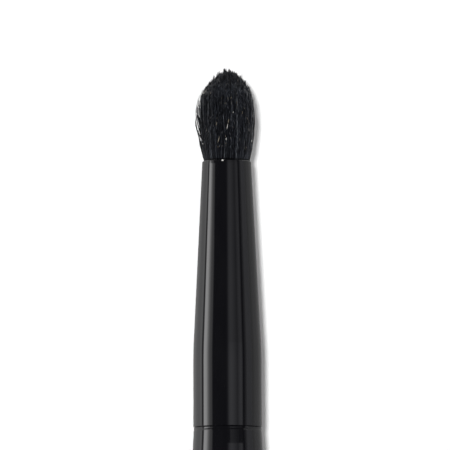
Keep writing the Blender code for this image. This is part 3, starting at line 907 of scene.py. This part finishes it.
def make_world():
    """The studio: softboxes left, overhead and right of the brush, and a white band round the horizon."""
    world = bpy.data.worlds.new("studio")
    world.use_nodes = True
    bpy.context.scene.world = world
    tree = world.node_tree
    x, y, z = coordinates(tree, "Generated")
    to_right = math_node(tree, "MULTIPLY", y, -1.0)
    across = math_node(tree, "DEGREES", math_node(tree, "ARCTAN2", to_right, z))
    lean = math_node(tree, "DEGREES", math_node(tree, "ARCSINE", x))
    rays = add_node(tree, "ShaderNodeLightPath")
    boxes = softboxes(tree, across, lean, rays.outputs["Is Glossy Ray"])
    far_ahead = math_node(tree, "GREATER_THAN", lean, HORIZON_WHITE_LEAN)
    white = math_node(tree, "MAXIMUM", rays.outputs["Is Camera Ray"], far_ahead)
    level = math_node(tree, "MAXIMUM", white, HORIZON_MIRRORED)
    horizon = math_node(tree, "LESS_THAN", math_node(tree, "ABSOLUTE", z), HORIZON)
    light = colour_math(tree, "MAXIMUM", boxes, math_node(tree, "MULTIPLY", horizon, level))
    background = tree.nodes["Background"]
    tree.links.new(colour_math(tree, "MAXIMUM", light, (STUDIO_LEVEL,) * 3), background.inputs["Color"])


def flat_sheet(name, corners, material):
    """One flat face through the corners."""
    mesh = bpy.data.meshes.new(name)
    mesh.from_pydata(corners, [], [tuple(range(len(corners)))])
    mesh.materials.append(material)
    return link(name, mesh)


def make_floor():
    """A white floor that takes the brush's shadow. It glows a little for the camera and in reflections."""
    material, tree, shader = new_material("white_floor")
    shader.inputs["Base Color"].default_value = FLOOR_COLOUR
    shader.inputs["Roughness"].default_value = 1.0
    shader.inputs["Specular IOR Level"].default_value = 0.0
    shader.inputs["Emission Color"].default_value = (1, 1, 1, 1)
    rays = add_node(tree, "ShaderNodeLightPath")
    seen = math_node(tree, "MAXIMUM", rays.outputs["Is Camera Ray"], rays.outputs["Is Glossy Ray"])
    seen = math_node(tree, "MAXIMUM", seen, rays.outputs["Is Transmission Ray"])
    tree.links.new(math_node(tree, "MULTIPLY", seen, FLOOR_GLOW), shader.inputs["Emission Strength"])
    half = FLOOR_SIZE / 2
    corners = [(-half, -half, 0), (half, -half, 0), (half, half, 0), (-half, half, 0)]
    floor = flat_sheet("floor", corners, material)


def make_paper_reflection():
    """A glowing sheet that paints the paper's reflection, with painted shade beside the brush. Only
    reflections see it.
    """
    material, tree, shader = new_material("paper_reflection")
    shader.inputs["Base Color"].default_value = (0, 0, 0, 1)
    shader.inputs["Specular IOR Level"].default_value = 0.0
    shader.inputs["Emission Color"].default_value = (1, 1, 1, 1)
    to_left = math_node(tree, "DIVIDE", coordinates(tree, "Object")["Y"], MILLIMETRE)
    tree.links.new(gradient(tree, to_left, PAPER_STOPS), shader.inputs["Emission Strength"])
    half = PAPER_HALF
    far_x = MOUTH_X + PAPER_WEDGE * half
    places = [(-half, -half), (far_x, -half), (MOUTH_X, 0), (far_x, half), (-half, half)]
    paper = flat_sheet("paper_reflection", [(x, y, PAPER_LIFT) for x, y in places], material)
    paper.visible_camera = False
    paper.visible_diffuse = False
    paper.visible_shadow = False
    paper.visible_transmission = False


def make_key_light():
    """The lamp that gives the shadow. The photograph's gloss doesn't mirror it, so it isn't mirrored here."""
    light = bpy.data.lights.new("key_softbox", "AREA")
    light.shape = "RECTANGLE"
    light.size, light.size_y = KEY_WIDTH, KEY_LENGTH
    light.energy = KEY_POWER
    lamp = link("key_softbox", light)
    lean, across = radians(KEY_LEAN), radians(KEY_ACROSS)
    towards = Vector((sin(lean), -cos(lean) * sin(across), cos(lean) * cos(across)))
    lamp.location = towards * KEY_DISTANCE
    side = Vector((0, 1, 0)) - towards * towards.y
    side.normalize()
    lamp.rotation_euler = Matrix((side, towards.cross(side), towards)).transposed().to_euler()
    lamp.visible_glossy = False
    lamp.visible_camera = False


def make_camera():
    data = bpy.data.cameras.new("camera")
    data.lens = LENS
    data.sensor_width = SENSOR
    data.clip_start, data.clip_end = CLIP_START, CLIP_END
    camera = link("camera", data)
    camera.location = (CAMERA_X, 0, AXIS_Z + CAMERA_HEIGHT)
    back = (camera.location - Vector((AIM_X, AIM_Y, AXIS_Z))).normalized()
    up = Vector((cos(radians(CAMERA_ROLL)), sin(radians(CAMERA_ROLL)), 0))
    right = up.cross(back).normalized()
    camera.rotation_euler = Matrix((right, back.cross(right), back)).transposed().to_euler()
    bpy.context.scene.camera = camera


random.seed(7)
bpy.context.scene.view_settings.view_transform = "Standard"

make_camera()
make_world()
make_key_light()
make_floor()
make_paper_reflection()

make_handle(gloss_black("black_lacquer"))
make_ferrule(gloss_black("black_coating"))
make_hair(hair_material("black_hair", BLACK_TONES, DYED_STRETCHES, DYED_ROUGHNESS, with_tone_and_shade=True))
make_single_hairs()
make_glint_speck()
refinish("binding_thread", cotton_material())
refinish("glue_plug", glue_material())
refinish("tenon_glue", glue_material())
